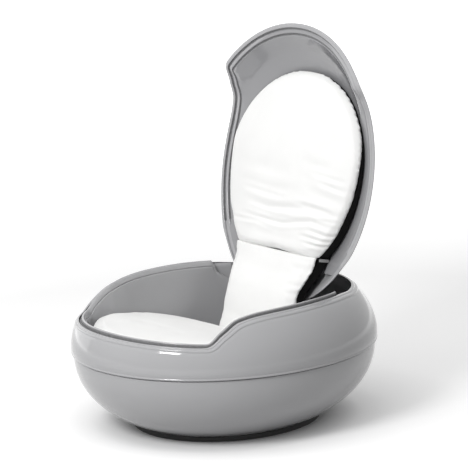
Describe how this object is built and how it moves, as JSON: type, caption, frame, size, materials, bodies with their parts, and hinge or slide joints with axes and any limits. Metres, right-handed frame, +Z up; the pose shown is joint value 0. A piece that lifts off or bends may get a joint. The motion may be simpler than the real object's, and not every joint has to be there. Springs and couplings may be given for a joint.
{
  "type": "pod chair",
  "caption": "Egg-shaped lounge chair: a lacquered bowl with a padded seat well and a hinged padded lid that opens as the backrest and folds down to close the egg.",
  "frame": {"origin": "on the floor under the middle of the bowl, centred on the overall width and depth", "axes": "+Z up, the sitter faces -Y, +X is the sitter's left; the lid's hinge axis runs along X at the rear"},
  "size_m": [0.7598, 0.84, 1.0238],
  "materials": {
    "lacquer": "glossy lacquer",
    "liner_lacquer": "glossy lacquer",
    "seam_rubber": "matt",
    "seal_rubber": "matt",
    "foot_rubber": "matt",
    "bumper_rubber": "matt",
    "fastener_steel": "zinc plated",
    "pin_steel": "ground",
    "black_steel": "satin black",
    "timber": "raw plywood",
    "cotton": "woven cotton",
    "black_backing": "black woven",
    "bush_plastic": "plain",
    "tab_webbing": "grey webbing"
  },
  "bodies": {
    "bowl": {"base_shell": "lacquer", "upper_shell": "lacquer", "seam_gasket": "seam_rubber", "seam_screws": "fastener_steel", "foot_ring": "foot_rubber", "foot_screws": "fastener_steel", "tub_liner": "liner_lacquer", "rim_seal": "seal_rubber", "seat_pedestal": "timber", "seat_cushion": "cotton", "lower_back_pad": "cotton", "lower_back_backing": "black_backing", "hinge_block": "timber", "hinge_bracket_left": "black_steel", "hinge_bracket_right": "black_steel", "bracket_bolts": "fastener_steel", "hinge_pin_left": "pin_steel", "hinge_pin_right": "pin_steel", "pin_clips": "pin_steel", "stop_bumpers": "bumper_rubber"},
    "lid": {"lid_shell": "lacquer", "lid_liner": "liner_lacquer", "lid_seal": "seal_rubber", "hinge_arm_left": "black_steel", "hinge_arm_right": "black_steel", "arm_bushes": "bush_plastic", "hinge_beam": "black_steel", "beam_bolts": "fastener_steel", "beam_screws": "fastener_steel", "back_core": "black_backing", "back_cushion": "cotton", "fold_tabs": "tab_webbing"}
  },
  "joints": [
    {"name": "lid_hinge", "type": "hinge", "parent": "bowl", "child": "lid", "pos_m": [0, 0.235, 0.3875], "axis": [1, 0, 0], "range_deg": [0, 102], "deforming": ["lower_back_pad", "lower_back_backing"]}
  ]
}
